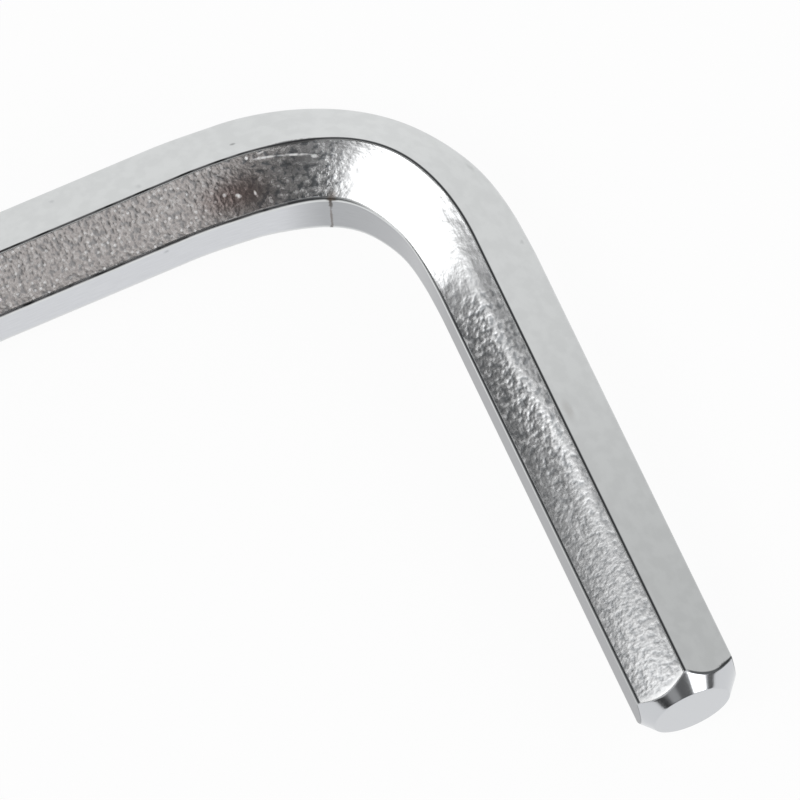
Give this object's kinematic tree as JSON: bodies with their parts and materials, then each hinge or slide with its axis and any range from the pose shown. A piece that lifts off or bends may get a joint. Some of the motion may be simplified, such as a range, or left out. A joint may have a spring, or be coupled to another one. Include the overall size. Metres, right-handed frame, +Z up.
{
  "type": "hex key",
  "caption": "L-shaped key of hexagonal steel bar with a rounded right-angle bend and chamfered ends, for turning hexagon socket screws.",
  "frame": {"origin": "centre of the short arm's end face, on the level of both arms' axes", "axes": "+Y runs along the short arm's axis from its end face to the bend, the long arm runs from the bend along -X, and +Z is up as the key lies flat, with an edge of the hexagon down"},
  "size_m": [0.074, 0.029, 0.0046],
  "materials": {
    "plated_steel": "bright nickel plate over drawn steel, grainy on the upper inner flat and smooth on the others"
  },
  "bodies": {
    "root": {"hex_key": "plated_steel"}
  },
  "joints": []
}
